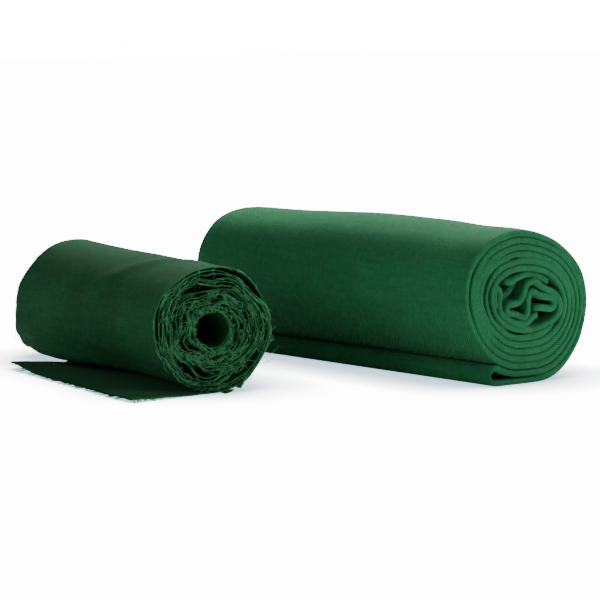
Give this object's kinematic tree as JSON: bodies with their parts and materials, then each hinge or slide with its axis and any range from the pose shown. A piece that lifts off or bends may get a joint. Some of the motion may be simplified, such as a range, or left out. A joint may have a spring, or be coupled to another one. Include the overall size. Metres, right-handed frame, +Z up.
{
  "type": "backdrop cloth roll",
  "caption": "Loose rolls of green backdrop cloth lying on a floor: a wide one of folded cloth and a narrow single-ply one with its end trailing.",
  "frame": {"origin": "on the floor under the middle of the wide roll, on the flat underside of its flap", "axes": "+X along the wide roll's axis towards the face that shows the winding best, +Y from the narrow roll towards the wide roll, +Z up"},
  "size_m": [0.4209, 0.3876, 0.1266],
  "materials": {
    "wide_cloth": "matt brushed twill",
    "narrow_cloth": "matt brushed twill with frayed cut edges"
  },
  "bodies": {
    "wide_roll": {"wide_flap": "wide_cloth", "wide_turn1_outer": "wide_cloth", "wide_turn1_inner": "wide_cloth", "wide_turn2_outer": "wide_cloth", "wide_turn2_inner": "wide_cloth", "wide_turn3_outer": "wide_cloth", "wide_turn3_inner": "wide_cloth"},
    "wide_core": {"wide_core_scroll": "wide_cloth", "wide_core_lining": "wide_cloth", "wide_core_crest": "wide_cloth"},
    "narrow_roll": {"narrow_turn_outer": "narrow_cloth", "narrow_turns_a": "narrow_cloth", "narrow_turns_b": "narrow_cloth", "narrow_turns_c": "narrow_cloth", "narrow_turns_d": "narrow_cloth", "narrow_tail_root": "narrow_cloth", "narrow_ear": "narrow_cloth"},
    "narrow_core": {"narrow_core_wrap": "narrow_cloth", "narrow_core_bore": "narrow_cloth"},
    "loose_end": {"narrow_tail": "narrow_cloth"}
  },
  "joints": [
    {"name": "rolls_apart", "type": "slide", "parent": "wide_roll", "child": "narrow_roll", "axis": [-0.2317, -0.9728, 0], "range_m": [0, 0.12]},
    {"name": "loose_end_lift", "type": "hinge", "parent": "narrow_roll", "child": "loose_end", "pos_m": [-0.09422, -0.23083, 0.00115], "axis": [-0.9728, 0.2317, 0], "range_deg": [0, 55]},
    {"name": "wide_core_slide", "type": "slide", "parent": "wide_roll", "child": "wide_core", "axis": [1, 0, 0], "range_m": [-0.03, 0.03]},
    {"name": "narrow_core_slide", "type": "slide", "parent": "narrow_roll", "child": "narrow_core", "axis": [0.9728, -0.2317, 0], "range_m": [-0.02, 0.02]}
  ]
}
